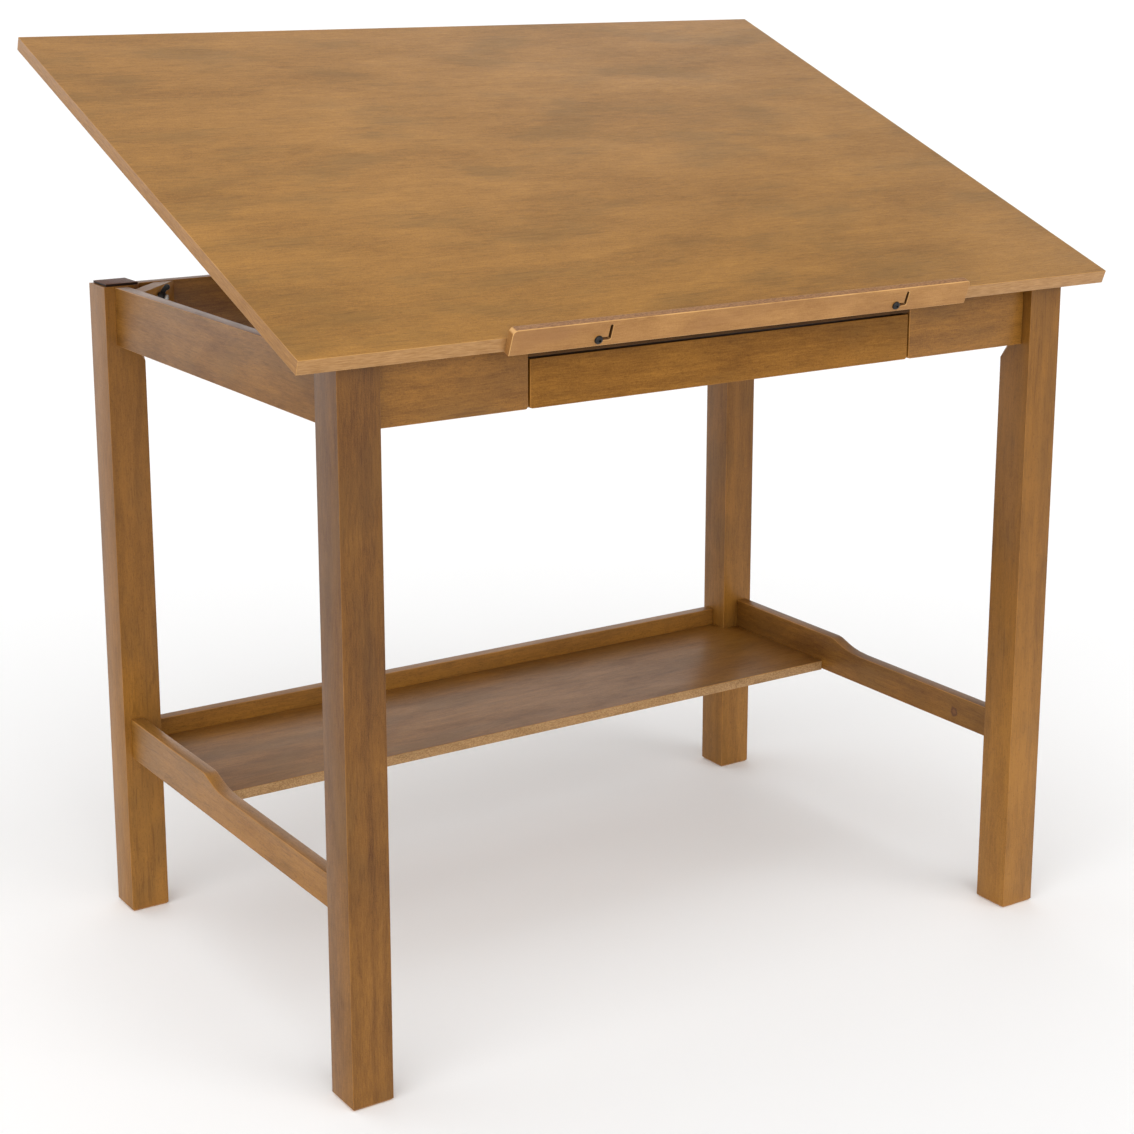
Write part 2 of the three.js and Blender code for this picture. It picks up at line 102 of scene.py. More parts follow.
class Graph:
    """A material's node tree, with a short call for each kind of node that is used."""

    def __init__(self, name):
        self.material = bpy.data.materials.new(name)
        self.material.use_nodes = True
        self.tree = self.material.node_tree
        self.shader = self.tree.nodes["Principled BSDF"]

    def feed(self, socket, value):
        if isinstance(value, bpy.types.NodeSocket):
            self.tree.links.new(value, socket)
        else:
            socket.default_value = value

    def node(self, kind, inputs, output=0, **settings):
        made = self.tree.nodes.new(kind)
        for key, value in settings.items():
            setattr(made, key, value)
        for key, value in inputs.items():
            self.feed(made.inputs[key], value)
        return made.outputs[output]

    def split(self, vector):
        """The X, Y and Z of a vector."""
        parts = self.tree.nodes.new("ShaderNodeSeparateXYZ")
        self.feed(parts.inputs[0], vector)
        return parts.outputs

    def place(self, seed=(0, 0, 0), turn=0.0):
        """Object coordinates turned back by `turn` about X, and moved by `seed`."""
        coordinates = self.node("ShaderNodeTexCoord", {}, "Object")
        inputs = {"Vector": coordinates, "Location": seed, "Rotation": (-turn, 0, 0)}
        return self.node("ShaderNodeMapping", inputs)

    def stretch(self, vector, scale):
        return self.node("ShaderNodeMapping", {"Vector": vector, "Scale": scale})

    def noise(self, vector, detail=2.0, roughness=0.5, distortion=0.0):
        inputs = {
            "Vector": vector,
            "Scale": 1.0,
            "Detail": detail,
            "Roughness": roughness,
            "Distortion": distortion,
        }
        return self.node("ShaderNodeTexNoise", inputs)

    def map(self, value, low, high, to_low=0.0, to_high=1.0, smooth=False):
        inputs = {
            "Value": value,
            "From Min": low,
            "From Max": high,
            "To Min": to_low,
            "To Max": to_high,
        }
        kind = "SMOOTHSTEP" if smooth else "LINEAR"
        return self.node("ShaderNodeMapRange", inputs, interpolation_type=kind)

    def math(self, operation, a, b=0.0, clamp=False):
        inputs = {0: a, 1: b}
        return self.node("ShaderNodeMath", inputs, operation=operation, use_clamp=clamp)

    def blend(self, factor, a, b, mode="MIX"):
        """A mix of two colours, by the sockets that a mix node keeps for colours."""
        mixed = self.tree.nodes.new("ShaderNodeMix")
        mixed.data_type = "RGBA"
        mixed.blend_type = mode
        for index, value in ((0, factor), (6, a), (7, b)):
            self.feed(mixed.inputs[index], value)
        return mixed.outputs[2]

    def bump(self, height, strength, distance):
        inputs = {"Height": height, "Strength": strength, "Distance": distance}
        return self.node("ShaderNodeBump", inputs)

    def normal_parts(self, turn=0.0):
        """The three sizes of the surface's normal, along the board's own axes."""
        normal = self.node("ShaderNodeTexCoord", {}, "Normal")
        inputs = {"Vector": normal, "Rotation": (-turn, 0, 0)}
        turned = self.node("ShaderNodeMapping", inputs, vector_type="NORMAL")
        return self.split(self.node("ShaderNodeVectorMath", {0: turned}, operation="ABSOLUTE"))

    def finish(self, **sockets):
        """Feeds the shader's sockets, whose names have _ for each space, and ends the graph."""
        for key, value in sockets.items():
            self.feed(self.shader.inputs[key.replace("_", " ")], value)
        return self.material


def srgb(red, green, blue):
    """A display colour, 0 to 255, as the linear colour that a shader takes."""

    def linear(c):
        c /= 255
        return c / 12.92 if c <= 0.04045 else ((c + 0.055) / 1.055) ** 2.4

    return (linear(red), linear(green), linear(blue), 1.0)


# ---- wood ----------------------------------------------------------------------------

ALONG = {"x": (1, 0, 0), "y": (0, 1, 0), "z": (0, 0, 1)}


def grain_scale(along, length, across):
    """Noise frequencies per metre: `length` along the grain and `across` over it."""
    return tuple(length if on else across for on in ALONG[along])


class Stain:
    """The colours of a stained board, from its dark pores to its arrises, which are paler partly
    from sanding and partly as a painted highlight.
    """

    def __init__(self, dark, light, cool, edge, roughness=0.42):
        self.dark, self.light, self.cool, self.edge = dark, light, cool, edge
        self.roughness = roughness


TOP_STAIN = Stain(
    dark=srgb(102, 65, 17),
    light=srgb(178, 126, 50),
    cool=srgb(122, 88, 34),
    edge=srgb(200, 150, 88),
)
FRAME_STAIN = Stain(
    dark=srgb(80, 44, 6),
    light=srgb(154, 105, 40),
    cool=srgb(116, 81, 36),
    edge=srgb(180, 126, 60),
)
LEDGE_STAIN = Stain(
    dark=srgb(128, 84, 38),
    light=srgb(180, 132, 74),
    cool=srgb(144, 100, 58),
    edge=srgb(212, 164, 104),
)
# A dark stain on the rail over the drawer, as painted shade for the gap there.
GAP_SHADE_STAIN = Stain(
    dark=srgb(44, 26, 8),
    light=srgb(98, 64, 28),
    cool=srgb(72, 50, 26),
    edge=srgb(108, 72, 34),
    roughness=0.6,
)
INNER_STAIN = Stain(
    dark=srgb(96, 58, 16),
    light=srgb(150, 104, 44),
    cool=srgb(122, 88, 46),
    edge=srgb(174, 128, 66),
    roughness=0.5,
)


def wood(
    name,
    stain,
    along,
    seed,
    turn=0.0,
    cloud_size=(9, 26),
    streak=1.0,
    blotch=0.85,
    hairs=1.0,
    shade=0.0,
    gloss=0.25,
    gap_shade_and_dull=False,
    extra=None,
):
    """Fine-pored hardwood or veneer under a satin lacquer, with its grain along one axis.

    `seed` picks the stretch of grain, `turn` is the board's tilt about X, and `cloud_size` is
    the frequency of the clouds of stain, along the grain and across it.
    `streak`, `blotch` and `hairs` weigh the long bands, the clouds of stain and the fine dark
    lines and pores. `shade` makes the board lighter or darker than its neighbours. `extra`
    takes the graph, the colour and the board's coordinates, and gives the colour back with
    more on it. `gap_shade_and_dull` paints shade on the faces that look up or down, for the
    dark gap over the drawer, and makes them dull.
    """
    g = Graph(name)
    offset = (seed * 1.37 % 7, seed * 2.71 % 5, seed * 0.93 % 3)
    board = g.place(offset, turn)

    wander = g.noise(g.stretch(board, grain_scale(along, 5, 14)), detail=2)
    wave = g.node("ShaderNodeVectorMath", {0: wander, "Scale": 0.014}, operation="SCALE")
    bent = g.node("ShaderNodeVectorMath", {0: board, 1: wave}, operation="ADD")

    cloud_place = g.stretch(bent, grain_scale(along, *cloud_size))
    cloud = g.noise(cloud_place, detail=6, roughness=0.6, distortion=0.4)
    band = g.noise(g.stretch(bent, grain_scale(along, 1.2, 75)), detail=5, roughness=0.62)
    figure = g.noise(g.stretch(bent, grain_scale(along, 18, 170)), detail=3, roughness=0.7)
    fibre = g.noise(g.stretch(bent, grain_scale(along, 55, 720)), detail=2, roughness=0.7)
    hair = g.noise(g.stretch(bent, grain_scale(along, 22, 480)), detail=3, distortion=0.5)
    fleck = g.noise(g.stretch(board, grain_scale(along, 190, 800)), detail=1)
    tooth = g.noise(g.stretch(board, (900, 900, 900)), detail=1)

    clouds = g.map(cloud, 0.3, 0.7, -0.2 * blotch, 0.2 * blotch)
    bands = g.map(band, 0.3, 0.7, -0.16 * streak, 0.16 * streak)
    figures = g.map(figure, 0.3, 0.7, -0.08, 0.08)
    fibres = g.map(fibre, 0.3, 0.7, -0.13, 0.13)
    teeth = g.map(tooth, 0.3, 0.7, -0.12, 0.12)
    broad = g.math("ADD", g.math("ADD", clouds, bands), 0.56 + shade)
    fine = g.math("ADD", g.math("ADD", figures, fibres), teeth)
    tone = g.math("ADD", broad, fine, clamp=True)

    colour = g.blend(tone, stain.dark, stain.light)
    grey = g.noise(g.stretch(bent, grain_scale(along, 8, 20)), detail=5)
    colour = g.blend(g.map(grey, 0.45, 0.72, 0, 0.6 * blotch, smooth=True), colour, stain.cool)
    near_grey = g.map(grey, 0.4, 0.6, 0.06 * hairs, 0.34 * hairs)
    strands = g.math("MULTIPLY", g.map(hair, 0.56, 0.65, smooth=True), near_grey)
    pores = g.map(fleck, 0.6, 0.72, 0, 0.36 * hairs, smooth=True)
    lines = g.math("MAXIMUM", strands, pores)
    colour = g.blend(lines, colour, stain.dark)
    if extra:
        colour = extra(g, colour, board)

    x, y, z = g.normal_parts(turn)
    flat = g.math("MAXIMUM", g.math("MAXIMUM", x, y), z)
    # The rounded arrises turn paler: partly sanded-through wear, partly a painted highlight.
    wear_and_highlight = g.math("MULTIPLY", g.map(flat, 0.985, 0.86), g.map(cloud, 0.35, 0.6, 0.3, 0.85))
    colour = g.blend(wear_and_highlight, colour, stain.edge)

    shine = g.math("ADD", fibres, clouds)
    rough = g.map(shine, -0.3, 0.3, stain.roughness + 0.07, stain.roughness - 0.07)
    if gap_shade_and_dull:
        # Painted shade: the faces that look up or down are darkened for the shadow in the gap
        # over the drawer, and made dull.
        level = g.map(z, 0.6, 0.9)
        colour = g.blend(g.math("MULTIPLY", level, 0.8), colour, srgb(62, 40, 18))
        rough = g.math("ADD", rough, g.math("MULTIPLY", level, 0.5), clamp=True)
    relief = g.math("SUBTRACT", g.math("ADD", fibres, teeth), g.math("MULTIPLY", lines, 0.4))
    return g.finish(
        Base_Color=colour,
        Roughness=rough,
        Normal=g.bump(relief, 0.2, 0.0006),
        IOR=1.5,
        Specular_IOR_Level=gloss,
        Coat_Weight=0.4 * gloss,
        Coat_Roughness=0.25,
        Coat_IOR=1.5,
    )


def sawn_edge(g, colour, board):
    """The shelf's front edge, where the end fibres took the stain pale and speckled."""
    y = g.normal_parts()["Y"]
    coarse = g.noise(g.stretch(board, (520, 900, 900)), detail=2, roughness=0.7)
    broad = g.noise(g.stretch(board, (24, 60, 60)), detail=2)
    tone = g.math("ADD", g.map(coarse, 0.3, 0.7, 0, 0.8), g.map(broad, 0.3, 0.7, 0, 0.25))
    speckle = g.blend(tone, srgb(114, 80, 40), srgb(182, 144, 98))
    return g.blend(g.map(y, 0.8, 0.97), colour, speckle)


def edge_band(g, colour, board):
    """The tabletop's edges: paler in front than at the sides, with a sawn grain."""
    normal = g.normal_parts(TILT)
    sawn = g.noise(g.stretch(board, (60, 60, 700)), detail=4, roughness=0.65)
    front = g.blend(g.map(sawn, 0.3, 0.7), srgb(142, 102, 60), srgb(186, 144, 98))
    side = g.blend(g.map(sawn, 0.3, 0.7), srgb(126, 84, 38), srgb(172, 122, 62))
    band = g.blend(g.map(normal["X"], 0.3, 0.7), front, side)
    return g.blend(g.map(normal["Z"], 0.4, 0.75, 0.75, 0), colour, band)


def shade_above(low, high):
    """A colour that gets darker from one height up to another: painted shade under the
    overhanging top, and partly the wood's own deeper tone.
    """

    def add(g, colour, board):
        rise = g.map(g.split(g.place())["Z"], low, high, 0, 0.5, smooth=True)
        return g.blend(rise, colour, srgb(190, 176, 140), mode="MULTIPLY")

    return add


def knot_at(centre, size):
    """A small knot, as a dark spot with a darker ring, seen on the face through `centre`."""

    def add(g, colour, board):
        place = g.place()
        ripple = g.noise(g.stretch(place, (160, 160, 160)), detail=2)
        shift = g.node("ShaderNodeVectorMath", {0: place, 1: centre}, operation="SUBTRACT")
        reach = g.node("ShaderNodeVectorMath", {0: shift}, "Value", operation="LENGTH")
        radius = g.math("ADD", reach, g.math("MULTIPLY", ripple, 0.006))
        inside = g.map(radius, size + 0.0045, size + 0.002, smooth=True)
        ring = g.math("MULTIPLY", inside, g.map(radius, size - 0.001, size + 0.002))
        colour = g.blend(g.math("MULTIPLY", inside, 0.75), colour, srgb(104, 66, 40))
        return g.blend(g.math("MULTIPLY", ring, 0.6), colour, srgb(70, 40, 20))

    return add


# ---- metal, plastic and felt ----------------------------------------------------------


def black_enamel(name, roughness=0.38):
    """Black paint on steel, with a fine orange peel and a few dusty patches."""
    g = Graph(name)
    place = g.place()
    peel = g.noise(g.stretch(place, (700, 700, 700)), detail=3)
    dust = g.noise(g.stretch(place, (60, 60, 60)), detail=4)
    colour = g.blend(g.map(dust, 0.4, 0.75, 0, 0.6), srgb(13, 12, 13), srgb(36, 34, 34))
    x, y, z = g.normal_parts()
    flat = g.math("MAXIMUM", g.math("MAXIMUM", x, y), z)
    colour = g.blend(g.map(flat, 0.9, 0.7, 0, 0.08), colour, srgb(92, 88, 86))
    return g.finish(
        Base_Color=colour,
        Roughness=g.map(dust, 0.3, 0.7, roughness - 0.06, roughness + 0.12),
        Normal=g.bump(peel, 0.12, 0.0004),
        Specular_IOR_Level=0.3,
    )


def moulded_plastic(name):
    """Black plastic with a spark-eroded texture, for the clamp knobs."""
    g = Graph(name)
    place = g.place()
    grit = g.noise(g.stretch(place, (1400, 1400, 1400)), detail=2)
    scuff = g.noise(g.stretch(place, (90, 90, 90)), detail=4)
    colour = g.blend(g.map(scuff, 0.45, 0.75), srgb(27, 27, 29), srgb(44, 43, 44))
    return g.finish(
        Base_Color=colour,
        Roughness=g.map(scuff, 0.3, 0.7, 0.5, 0.66),
        Normal=g.bump(grit, 0.3, 0.0003),
    )


def zinc_steel(name):
    """Zinc-plated steel, drawn along X, dulled in patches."""
    g = Graph(name)
    place = g.place()
    drawn = g.noise(g.stretch(place, (30, 1500, 1500)), detail=2)
    patch = g.noise(g.stretch(place, (70, 70, 70)), detail=4, roughness=0.6)
    colour = g.blend(g.map(patch, 0.3, 0.7), srgb(166, 168, 170), srgb(202, 203, 200))
    return g.finish(
        Base_Color=colour,
        Metallic=1.0,
        Roughness=g.map(patch, 0.3, 0.7, 0.28, 0.46),
        Normal=g.bump(drawn, 0.08, 0.0003),
    )


def dark_pad(name):
    """The firm brown bumpers on the back legs."""
    g = Graph(name)
    place = g.place()
    grain = g.noise(g.stretch(place, (420, 420, 420)), detail=3, roughness=0.6)
    broad = g.noise(g.stretch(place, (50, 50, 50)), detail=2)
    z = g.normal_parts()["Z"]
    colour = g.blend(g.map(broad, 0.3, 0.7), srgb(78, 42, 24), srgb(102, 60, 36))
    colour = g.blend(g.map(grain, 0.55, 0.75, 0, 0.5), colour, srgb(52, 26, 14))
    # Darker on the side faces than on the top.
    colour = g.blend(g.map(z, 0.5, 0.2), colour, srgb(30, 17, 12))
    return g.finish(
        Base_Color=colour,
        Roughness=g.map(grain, 0.3, 0.7, 0.5, 0.75),
        Normal=g.bump(grain, 0.25, 0.0005),
        Specular_IOR_Level=0.3,
    )


# ---- softened edges ------------------------------------------------------------------


def smooth_faces():
    """A geometry node group that shades the model smooth."""
    group = bpy.data.node_groups.new("smooth_faces", "GeometryNodeTree")
    group.interface.new_socket("Geometry", in_out="INPUT", socket_type="NodeSocketGeometry")
    group.interface.new_socket("Geometry", in_out="OUTPUT", socket_type="NodeSocketGeometry")
    start = group.nodes.new("NodeGroupInput")
    shade = group.nodes.new("GeometryNodeSetShadeSmooth")
    end = group.nodes.new("NodeGroupOutput")
    group.links.new(start.outputs[0], shade.inputs["Geometry"])
    group.links.new(shade.outputs["Geometry"], end.inputs[0])
    return group


SMOOTH_FACES = smooth_faces()


def soften(piece, width, segments=3, angle=25):
    """Rounds every arris of a CAD piece by `width`, and keeps its flats flat."""
    weld = piece.modifiers.new("weld", "WELD")
    weld.merge_threshold = 0.00001
    flats = piece.modifiers.new("flats", "DECIMATE")
    flats.decimate_type = "DISSOLVE"
    flats.angle_limit = math.radians(0.5)
    shade = piece.modifiers.new("shade", "NODES")
    shade.node_group = SMOOTH_FACES
    round_arrises(piece, width, segments, angle)


def round_arrises(piece, width, segments, angle):
    bevel = piece.modifiers.new("bevel", "BEVEL")
    bevel.width = width
    bevel.segments = segments
    bevel.limit_method = "ANGLE"
    bevel.angle_limit = math.radians(angle)
    bevel.harden_normals = True


def coat(piece, material):
    """Gives a CAD node's object, or a new piece, one material."""
    if not piece.material_slots:
        piece.data.materials.append(material)
    for slot in piece.material_slots:
        slot.link = "OBJECT"
        slot.material = material


def dress(name, material, ease, **rounding):
    """Coats a CAD node, and rounds its arrises by `ease` millimetres."""
    coat(nodes[name], material)
    soften(nodes[name], ease * MM, **rounding)


# ---- shapes of the small fittings, in millimetres about their own axes ----------------


def as_mesh(name, build):
    """A mesh from what `build` makes in an empty bmesh, sharp only where it turns a corner."""
    form = bmesh.new()
    build(form)
    bmesh.ops.remove_doubles(form, verts=form.verts, dist=1e-5)
    bmesh.ops.recalc_face_normals(form, faces=form.faces)
    mesh = bpy.data.meshes.new(name)
    form.to_mesh(mesh)
    form.free()
    for face in mesh.polygons:
        face.use_smooth = True
    mesh.set_sharp_from_angle(angle=math.radians(32))
    return mesh


def turned(name, profile, sides=48, reach=lambda turn, height: 1.0):
    """A turned form about Z from (radius, height) points, scaled by `reach` round its axis."""

    def build(form):
        rings = []
        for radius, height in profile:
            ring = []
            for i in range(sides):
                turn = 2 * math.pi * i / sides
                r = radius * reach(turn, height)
                ring.append(form.verts.new((r * math.cos(turn), r * math.sin(turn), height)))
            rings.append(ring)
        for low, high in zip(rings, rings[1:]):
            for i in range(sides):
                j = (i + 1) % sides
                form.faces.new((low[i], low[j], high[j], high[i]))
        form.faces.new(rings[0])
        form.faces.new(rings[-1])

    return as_mesh(name, build)


def arc(centre, radius, start, end, steps=8):
    """Points round a centre, between two angles in degrees."""
    points = []
    for i in range(steps + 1):
        turn = math.radians(start + (end - start) * i / steps)
        points.append((centre[0] + radius * math.cos(turn), centre[1] + radius * math.sin(turn)))
    return points


def plate(name, outline, holes, thick, ease):
    """A flat piece standing in X-Z, centred on y = 0, with its outline and holes eased."""
    curve = bpy.data.curves.new(name, "CURVE")
    curve.dimensions = "2D"
    curve.fill_mode = "BOTH"
    curve.extrude = thick / 2 - ease
    curve.bevel_depth = ease
    curve.bevel_resolution = 2
    curve.offset = -ease
    for loop in (outline, *holes):
        spline = curve.splines.new("POLY")
        spline.points.add(len(loop) - 1)
        spline.use_cyclic_u = True
        for point, (x, y) in zip(spline.points, loop):
            point.co = (x, y, 0, 1)
    drawn = bpy.data.objects.new(name, curve)
    bpy.context.collection.objects.link(drawn)
    solid = drawn.evaluated_get(bpy.context.evaluated_depsgraph_get())
    flat = bpy.data.meshes.new_from_object(solid)
    bpy.data.objects.remove(drawn)
    flat.transform(Matrix.Rotation(math.pi / 2, 4, "X"))
    mesh = as_mesh(name, lambda form: form.from_mesh(flat))
    bpy.data.meshes.remove(flat)
    return mesh


def carved(mesh, cutter):
    """The mesh with a cutter's shape taken out of it."""
    body = bpy.data.objects.new("body", mesh)
    tool = bpy.data.objects.new("tool", cutter)
    for item in (body, tool):
        bpy.context.collection.objects.link(item)
    cut = body.modifiers.new("cut", "BOOLEAN")
    cut.operation = "DIFFERENCE"
    cut.object = tool
    solid = body.evaluated_get(bpy.context.evaluated_depsgraph_get())
    result = bpy.data.meshes.new_from_object(solid)
    for item in (body, tool):
        bpy.data.objects.remove(item)
    result.name = mesh.name
    return result


def gathered(name, *meshes):
    """Several meshes as the one mesh of a piece."""

    def build(form):
        for mesh in meshes:
            form.from_mesh(mesh)

    return as_mesh(name, build)


def add_piece(name, mesh, matrix, body, slot, material, *stands_for):
    """Puts a mesh drawn in millimetres in its place, as a piece that rides on a body."""
    mesh = mesh.copy()
    mesh.transform(matrix @ Matrix.Scale(MM, 4))
    piece = bpy.data.objects.new(name, mesh)
    bpy.context.collection.objects.link(piece)
    coat(piece, material)
    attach(piece, body)
    if stands_for:
        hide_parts(*stands_for)
    return piece


def facing(point, direction):
    """A matrix that carries +Z to `direction` and the origin to `point`."""
    turn = Vector(direction).to_track_quat("Z", "Y").to_matrix().to_4x4()
    return Matrix.Translation(point) @ turn


def lid_box(name):
    """A lid node's lowest and highest corners about the hinge axis, with the top laid flat."""
    back = LID_TURN.inverted()
    corners = [back @ (vertex.co - HINGE) for vertex in nodes[name].data.vertices]
    low = Vector(min(corner[i] for corner in corners) for i in range(3))
    high = Vector(max(corner[i] for corner in corners) for i in range(3))
    return low, high


LID_PLACE = Matrix.Translation(HINGE) @ LID_TURN.to_4x4()

# ---- the boards ----------------------------------------------------------------------

CORNERS = ("front_left", "front_right", "back_right", "back_left")
SIDES = ("left", "right")
LEG_SHADES = {"front_left": -0.14, "front_right": 0.28, "back_right": 0.2, "back_left": 0.28}


def finish_legs():
    for i, corner in enumerate(CORNERS):
        name = f"leg_{corner}"
        shade = LEG_SHADES[corner]
        # Painted shade: the legs get darker towards the top, under the overhanging top.
        leg_top_shade = shade_above(0.1, 0.5)
        stained = wood(name, FRAME_STAIN, "z", seed=3 + 7 * i, shade=shade, extra=leg_top_shade)
        dress(name, stained, ease=1.4)


KNOT_FROM_LEG = 0.127  # behind the front leg's face
KNOT_HEIGHT = 0.218
KNOT_RADIUS = 0.0062


def finish_frame():
    boards = {
        "apron_left": ("y", -0.08),
        "apron_right": ("y", 0.0),
        "apron_back": ("x", -0.2),
        "apron_front_left": ("x", 0.04),
        "apron_front_right": ("x", 0.04),
        "shelf_back_rail": ("x", 0.16),
        "stretcher_left": ("y", 0.2),
    }
    for i, (name, (along, shade)) in enumerate(boards.items()):
        stained = wood(name, FRAME_STAIN, along, seed=40 + 5 * i, shade=shade)
        dress(name, stained, ease=1.0)

    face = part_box("stretcher_right")[0].x
    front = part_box("leg_front_right")[0].y
    knot = knot_at((face, front + KNOT_FROM_LEG, KNOT_HEIGHT), size=KNOT_RADIUS)
    stained = wood("stretcher_right", FRAME_STAIN, "y", seed=101, shade=-0.08, extra=knot)
    dress("stretcher_right", stained, ease=1.0)

    name = "shelf_board"
    shelf = wood(name, FRAME_STAIN, "x", seed=115, streak=0.5, blotch=1.0, extra=sawn_edge)
    dress(name, shelf, ease=0.6)


def finish_drawer_front():
    """The drawer's front and the rail over it, with painted shade where the gap between them is:
    a dark stain on the rail, and dark, dull faces that look up or down.
    """
    front = wood(
        "drawer_front", FRAME_STAIN, "x", seed=65, shade=0.04, gloss=0.1, gap_shade_and_dull=True
    )
    dress("drawer_front", front, ease=1.0)
    rail = wood("drawer_top_rail", GAP_SHADE_STAIN, "x", seed=70, gloss=0.1, gap_shade_and_dull=True)
    dress("drawer_top_rail", rail, ease=0.5)


def finish_inner_boards():
    boards = {
        "slotted_rail_left": "y",
        "slotted_rail_right": "y",
        "drawer_runner_left": "y",
        "drawer_runner_right": "y",
        "drawer_side_left": "y",
        "drawer_side_right": "y",
        "drawer_back": "x",
        "drawer_bottom": "x",
    }
    for i, (name, along) in enumerate(boards.items()):
        dress(name, wood(name, INNER_STAIN, along, seed=130 + 3 * i), ease=0.7)
    for i, corner in enumerate(CORNERS):
        name = f"corner_brace_{corner}"
        dress(name, wood(name, INNER_STAIN, "x", seed=170 + 3 * i), ease=0.8)


def finish_top():
    stained = wood(
        "tabletop",
        TOP_STAIN,
        "x",
        seed=201,
        turn=TILT,
        cloud_size=(5, 13),
        streak=0.35,
        extra=edge_band,
    )
    dress("tabletop", stained, ease=2.2, segments=4)


STEEL = zinc_steel("zinc_steel")
BLACK = black_enamel("black_enamel")
PLASTIC = moulded_plastic("moulded_plastic")


def finish_fittings():
    pad = dark_pad("dark_pad")
    for side in SIDES:
        for kind in ("hinge_leaf_lower", "hinge_leaf_upper", "hinge_pin", "prop_pin"):
            coat(nodes[f"{kind}_{side}"], STEEL)
        for kind in ("prop_arm", "prop_bracket"):
            dress(f"{kind}_{side}", BLACK, ease=0.4, segments=2, angle=40)
        dress(f"leg_pad_{side}", pad, ease=0.6)
    coat(nodes["prop_rod"], STEEL)


# ---- the pencil ledge and its screws -------------------------------------------------

LEDGE_STEP = 14.0  # of each slot, sideways and then up
SLOT_HALF = 1.6  # half of a slot's width
LEDGE_CORNER = 5.5
LEDGE_EASE = 1.2
SCREW_SHAFT = 1.5
SCREW_HEAD = 4.7
SCREW_PROUD = 3.3
SCREW_LENGTH = 32.0
SOCKET_RADIUS = 1.5
SOCKET_DEPTH = 1.9


def slot_outline(x, z):
    """An L-shaped slot that starts at a screw, runs to the right and then turns up."""
    turn, end = (x + LEDGE_STEP, z), (x + LEDGE_STEP, z + LEDGE_STEP)
    inner = (x + LEDGE_STEP - SLOT_HALF, z + SLOT_HALF)
    rim = [*arc((x, z), SLOT_HALF, 90, 270), *arc(turn, SLOT_HALF, -90, 0)]
    return [*rim, *arc(end, SLOT_HALF, 0, 180), inner]


def mark_slot_shade(board, slots):
    """Marks the walls of the slots, where shade is painted in."""
    margin = 0.5
    cut = board.attributes.new("cut", "FLOAT", "FACE")
    for slot in slots:
        across = [x for x, z in slot]
        heights = [z for x, z in slot]
        for face in board.polygons:
            in_x = min(across) - margin < face.center.x < max(across) + margin
            in_z = min(heights) - margin < face.center.z < max(heights) + margin
            if in_x and in_z and abs(face.normal.y) < 0.6:
                cut.data[face.index].value = 1.0


def slot_shade_and_end_grain(g, colour, board):
    """Darkens the walls of the slots with painted shade, and speckles the ledge's narrow top
    edge.
    """
    cut = g.node("ShaderNodeAttribute", {}, "Fac", attribute_name="cut")
    # Painted shade in the slots: their walls are darkened.
    colour = g.blend(g.math("MULTIPLY", cut, 0.85), colour, srgb(58, 34, 14))
    z = g.normal_parts(TILT)["Z"]
    speckle = g.noise(g.stretch(board, (260, 700, 700)), detail=2, roughness=0.7)
    end_grain = g.blend(g.map(speckle, 0.4, 0.6), srgb(116, 76, 44), srgb(156, 112, 70))
    return g.blend(g.map(z, 0.8, 0.95, 0, 0.85), colour, end_grain)


def pencil_ledge():
    """The ledge, with its slots drawn as the narrow L that they are."""
    low, high = (corner / MM for corner in lid_box("pencil_ledge"))
    r = LEDGE_CORNER
    outline = [(low.x, low.z), (high.x, low.z)]
    outline += arc((high.x - r, high.z - r), r, 0, 90)
    outline += arc((low.x + r, high.z - r), r, 90, 180)
    slots = []
    for side in SIDES:
        middle = sum(lid_box(f"ledge_screw_{side}"), Vector()) / 2 / MM
        slots.append(slot_outline(middle.x, middle.z)[::-1])
    board = plate("pencil_ledge_board", outline, slots, high.y - low.y, LEDGE_EASE)
    mark_slot_shade(board, slots)
    place = LID_PLACE @ Matrix.Translation((0, (low.y + high.y) / 2 * MM, 0))
    stained = wood(
        "pencil_ledge",
        LEDGE_STAIN,
        "x",
        seed=223,
        turn=TILT,
        cloud_size=(16, 30),
        streak=0.4,
        blotch=1.1,
        hairs=0.5,
        extra=slot_shade_and_end_grain,
    )
    name = "pencil_ledge_board"
    piece = add_piece(name, board, place, "ledge", "top", stained, "pencil_ledge")
    piece.modifiers.new("normals", "WEIGHTED_NORMAL").keep_sharp = True


def button_screw():
    """A domed socket-head screw along +Z, with its head's seat at z = 0."""
    profile = [(SCREW_SHAFT, -SCREW_LENGTH), (SCREW_SHAFT, 0), (SCREW_HEAD, 0)]
    profile += [(SCREW_HEAD, 0.9), (4.4, 1.7), (3.7, 2.5), (2.6, 3.1), (1.2, SCREW_PROUD)]
    head = turned("button_screw", profile)
    bottom = SCREW_PROUD - SOCKET_DEPTH
    socket = turned("socket", [(SOCKET_RADIUS, bottom), (SOCKET_RADIUS, 6)], sides=6)
    return carved(head, socket)


def ledge_screws():
    screw = button_screw()
    for side in SIDES:
        low, high = lid_box(f"ledge_screw_{side}")
        seat = low.y + SCREW_PROUD * MM
        centre = on_lid((low.x + high.x) / 2, seat, (low.z + high.z) / 2)
        place = facing(centre, LID_TURN @ Vector((0, -1, 0)))
        name = f"ledge_button_screw_{side}"
        piece = add_piece(name, screw, place, "lid", "black", BLACK, f"ledge_screw_{side}")
        round_arrises(piece, 0.25 * MM, segments=2, angle=40)


# ---- hanger bolts, wing nuts, clamp knobs and wood screws ----------------------------

NUT_RADIUS = 6.5
BOLT_RADIUS = 3.0
BOLT_LENGTH = 66.0
THREAD_FROM = 40.0
THREAD_PITCH = 1.0


